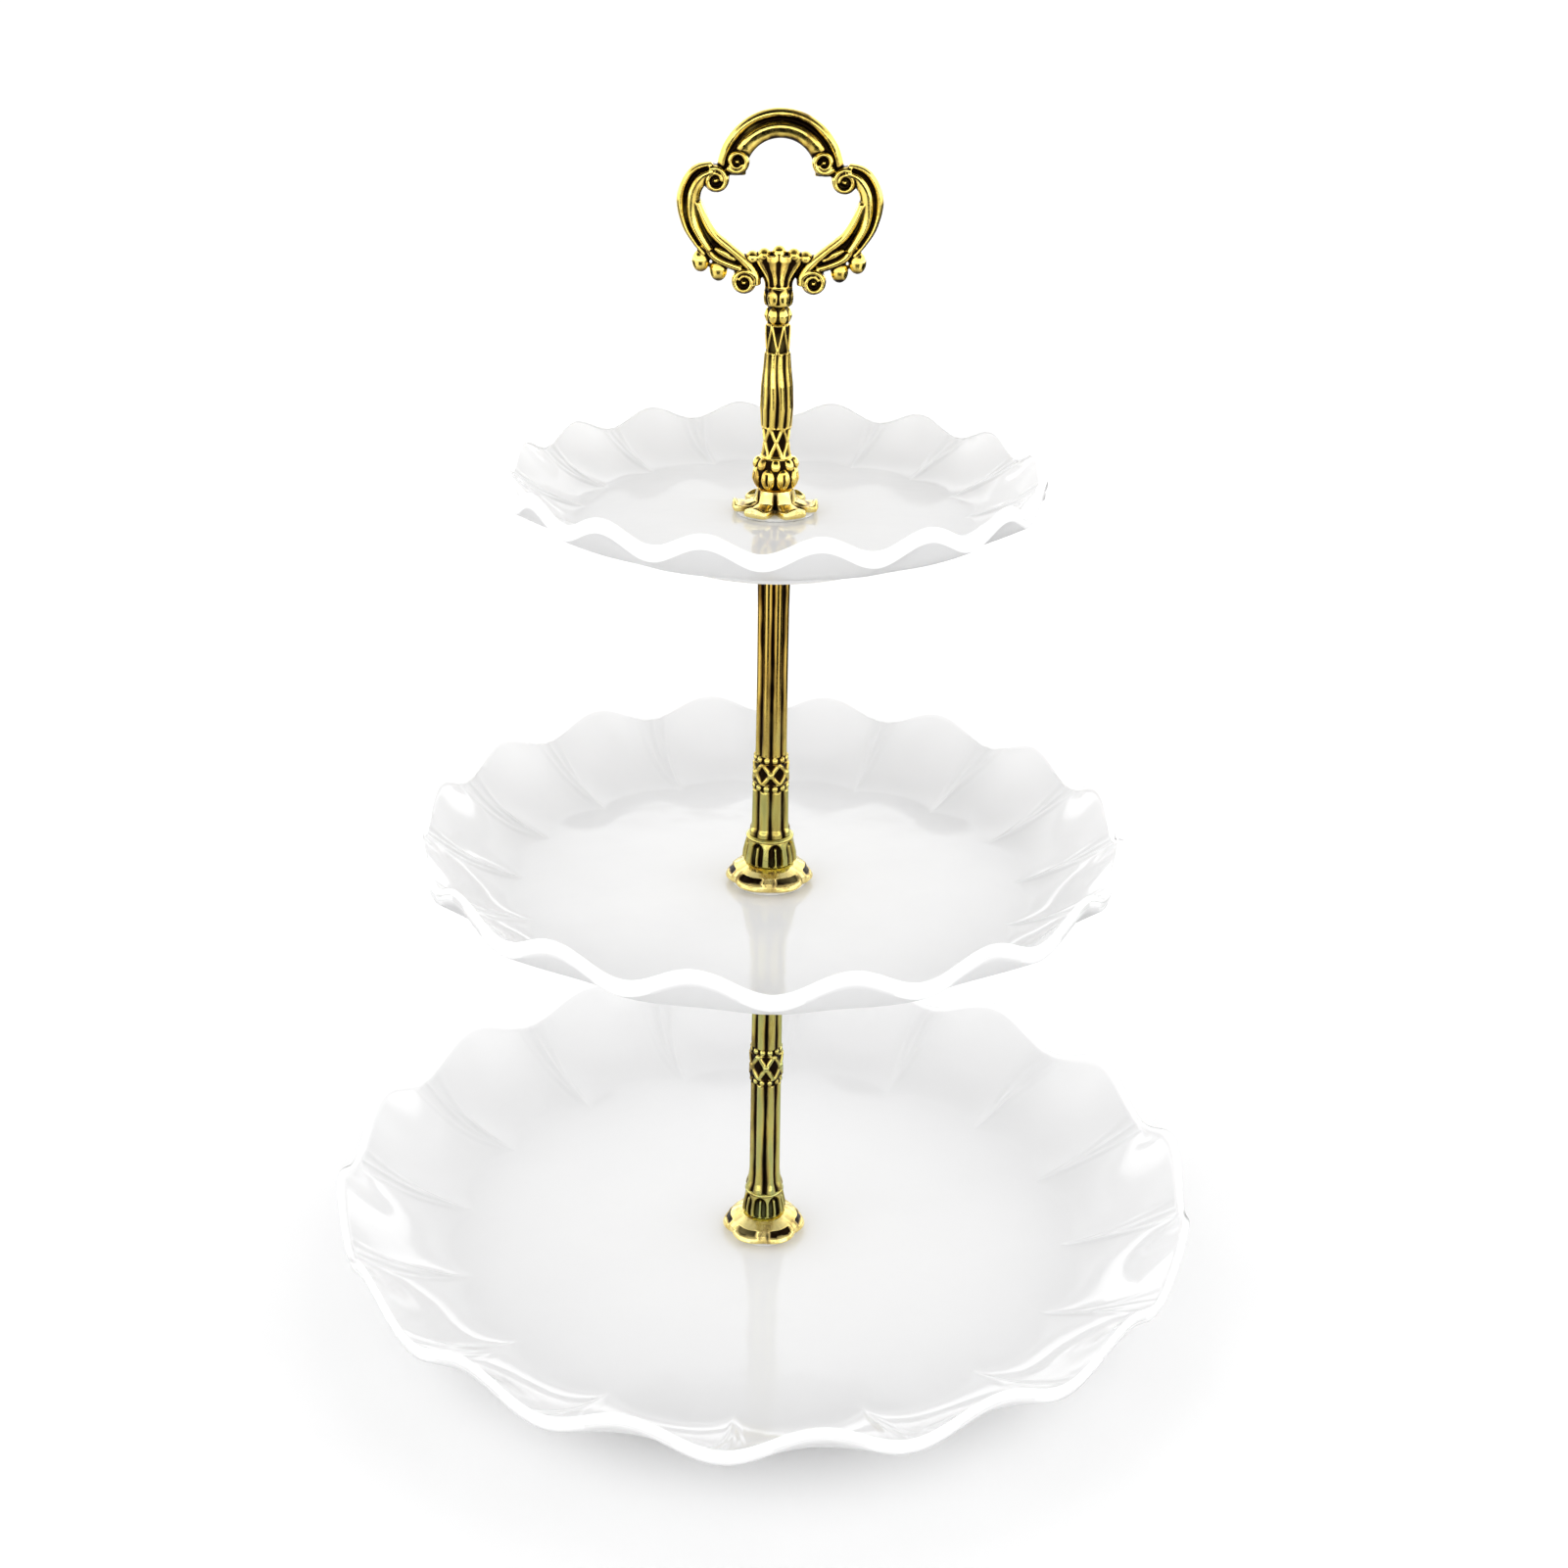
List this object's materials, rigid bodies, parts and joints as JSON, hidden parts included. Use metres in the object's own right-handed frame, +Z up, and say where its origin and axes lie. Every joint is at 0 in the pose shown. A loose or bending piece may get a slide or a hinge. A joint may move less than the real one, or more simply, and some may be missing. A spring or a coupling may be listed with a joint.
{
  "type": "tiered cake stand",
  "caption": "Tiered cake stand: scalloped glazed plates clamped on a decorated metal stem under a scrolled ring handle.",
  "frame": {"origin": "centre of the bottom plate's foot ring, on the surface that the stand rests on", "axes": "+Z up along the stem, -Y to the front, the ring handle in the XZ plane"},
  "size_m": [0.2676, 0.2676, 0.36],
  "materials": {
    "glaze": "white gloss glaze",
    "gold": "polished gold plating on a zinc casting",
    "steel": "zinc-plated steel",
    "gasket": "soft translucent white"
  },
  "bodies": {
    "base": {"bottom_plate": "glaze"},
    "stem": {"bottom_gasket_above": "gasket", "bottom_gasket_below": "gasket", "bottom_flange": "gold", "bottom_collar": "gold", "foot_washer": "steel", "foot_bolt": "steel", "lower_rod": "gold", "lower_stud": "steel", "middle_seat": "gold", "middle_gasket_below": "gasket", "middle_gasket_above": "gasket", "middle_flange": "gold", "middle_collar": "gold", "middle_rod": "gold", "upper_stud": "steel", "top_seat": "gold", "top_gasket_below": "gasket", "top_gasket_above": "gasket", "top_flange": "gold", "top_collar": "gold", "upper_rod": "gold"},
    "middle_tier": {"middle_plate": "glaze"},
    "top_tier": {"top_plate": "glaze"},
    "handle_screw": {"handle_stud": "steel"},
    "handle": {"handle_ring": "gold"}
  },
  "joints": [
    {"name": "stem_turn", "type": "hinge", "parent": "base", "child": "stem", "pos_m": [0, 0, 0.011], "axis": [0, 0, 1], "continuous": true},
    {"name": "middle_plate_turn", "type": "hinge", "parent": "stem", "child": "middle_tier", "pos_m": [0, 0, 0.135], "axis": [0, 0, 1], "continuous": true},
    {"name": "top_plate_turn", "type": "hinge", "parent": "stem", "child": "top_tier", "pos_m": [0, 0, 0.25], "axis": [0, 0, 1], "continuous": true},
    {"name": "handle_lift", "type": "slide", "parent": "stem", "child": "handle_screw", "axis": [0, 0, 1], "range_m": [0, 0.00585]},
    {"name": "handle_unscrew", "type": "hinge", "parent": "handle_screw", "child": "handle", "pos_m": [0, 0, 0.308], "axis": [0, 0, 1], "range_deg": [0, 2610]}
  ],
  "couplings": [
    {"joint": "handle_lift", "follows": "handle_unscrew", "m_per_rad": 0.00012732}
  ]
}
